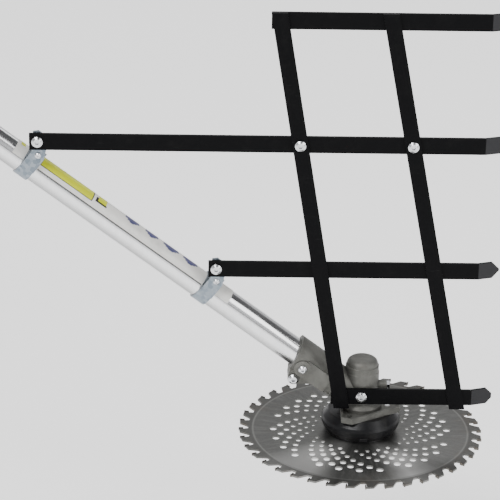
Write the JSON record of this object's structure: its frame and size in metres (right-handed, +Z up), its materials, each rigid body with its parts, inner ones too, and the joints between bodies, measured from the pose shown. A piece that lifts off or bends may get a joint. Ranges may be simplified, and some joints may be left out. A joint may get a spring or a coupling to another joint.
{
  "type": "brush cutter",
  "caption": "Brush cutter with a slotted saw blade on an angled gear head, a flat-bar crop frame on two straps, a loop handle and a rear battery motor unit.",
  "frame": {"origin": "lower free end of the output spindle, on its axis", "axes": "+Z up along the output spindle; -X the way the shaft leans up to the power unit; -Y the side that carries the crop frame"},
  "size_m": [1.3715, 0.255, 0.9919],
  "materials": {
    "cast_alloy": "as-cast aluminium alloy, olive grey, fine grain",
    "brass": "machined",
    "zinc_fastener": "bright zinc plated",
    "gear_steel": "ground and oiled",
    "bearing_steel": "polished",
    "spring_steel": "black oxide",
    "seal_rubber": "brown nitrile",
    "cup_black": "gloss black pressed steel",
    "forged_steel": "phosphated",
    "blade_steel": "rolled, radially brushed, light rust tint",
    "carbide": "dark sintered",
    "tube_aluminium": "polished extrusion",
    "bush_plastic": "natural nylon",
    "frame_black": "satin black paint",
    "strap_zinc": "galvanised strip",
    "handle_black": "satin black",
    "grip_rubber": "foamed",
    "clamp_plastic": "glass-filled nylon",
    "housing_orange": "moulded",
    "housing_grey": "moulded",
    "alloy_plate": "die cast",
    "lamination": "stacked sheet",
    "copper": "enamelled copper winding",
    "board_green": "circuit board",
    "control_black": "moulded",
    "control_red": "moulded",
    "control_green": "moulded",
    "battery_black": "moulded",
    "contact_brass": "plated contact",
    "label": "printed film"
  },
  "bodies": {
    "machine": {"gear_case": "cast_alloy", "grease_plug": "zinc_fastener", "case_clamp_screws": "zinc_fastener", "pinion_bearings": "bearing_steel", "pinion_circlip": "spring_steel", "spindle_bearings": "bearing_steel", "oil_seal": "seal_rubber", "anti_wrap_cup": "cup_black", "cup_screws": "zinc_fastener", "shaft_tube": "tube_aluminium", "shaft_bushes": "bush_plastic", "top_rail": "frame_black", "second_rail": "frame_black", "third_rail": "frame_black", "bottom_rail": "frame_black", "rear_upright": "frame_black", "front_upright": "frame_black", "lower_clamp": "strap_zinc", "upper_clamp": "strap_zinc", "clamp_screws": "zinc_fastener", "frame_bolts": "zinc_fastener", "frame_nuts": "zinc_fastener", "loop_handle": "handle_black", "handle_sleeve": "grip_rubber", "handle_clamp_base": "clamp_plastic", "handle_clamp_cap": "clamp_plastic", "handle_screws": "zinc_fastener", "harness_eye": "clamp_plastic", "eye_screw": "zinc_fastener", "housing_left": "housing_orange", "housing_right": "housing_grey", "housing_screws": "zinc_fastener", "motor_end_plates": "alloy_plate", "motor_stator": "lamination", "stator_windings": "copper", "motor_bearings": "bearing_steel", "controller": "board_green", "trigger_pin": "zinc_fastener", "trigger_switch": "control_black", "battery_terminals": "contact_brass", "shaft_labels": "label"},
    "blade_spindle": {"output_spindle": "gear_steel", "crown_gear": "gear_steel", "blade_adapter": "forged_steel", "blade_disc": "blade_steel", "carbide_tips": "carbide", "outer_flange": "forged_steel", "blade_nut": "zinc_fastener"},
    "drive_line": {"pinion_gear": "gear_steel", "drive_shaft": "gear_steel", "shaft_coupler": "forged_steel", "motor_rotor": "gear_steel"},
    "throttle": {"trigger": "control_black"},
    "lock_off": {"lock_off_button": "control_red"},
    "power_switch": {"power_button": "control_green"},
    "battery": {"battery_pack": "battery_black"},
    "latch": {"battery_latch": "control_red"}
  },
  "joints": [
    {"name": "blade_spin", "type": "hinge", "parent": "machine", "child": "blade_spindle", "pos_m": [0, 0, 0.024], "axis": [0, 0, 1], "continuous": true},
    {"name": "drive_spin", "type": "hinge", "parent": "machine", "child": "drive_line", "pos_m": [0, 0, 0.061], "axis": [-0.7986, 0, 0.6018], "continuous": true},
    {"name": "trigger_pull", "type": "hinge", "parent": "machine", "child": "throttle", "pos_m": [-1.03149, 0, 0.81574], "axis": [0, 1, 0], "range_deg": [0, 12], "stiffness_Nm_per_rad": 0.05},
    {"name": "lock_off_press", "type": "slide", "parent": "machine", "child": "lock_off", "axis": [-0.6018, 0, -0.7986], "range_m": [0, 0.003], "stiffness_N_per_m": 300, "springref_m": -0.001},
    {"name": "power_press", "type": "slide", "parent": "machine", "child": "power_switch", "axis": [-0.6018, 0, -0.7986], "range_m": [0, 0.0015], "stiffness_N_per_m": 400, "springref_m": -0.001},
    {"name": "battery_slide", "type": "slide", "parent": "machine", "child": "battery", "axis": [-0.7986, 0, 0.6018], "range_m": [0, 0.06]},
    {"name": "latch_press", "type": "slide", "parent": "battery", "child": "latch", "axis": [-0.6018, 0, -0.7986], "range_m": [0, 0.0025], "stiffness_N_per_m": 400, "springref_m": -0.001}
  ],
  "couplings": [
    {"joint": "drive_spin", "follows": "blade_spin", "ratio": -1.3571}
  ]
}
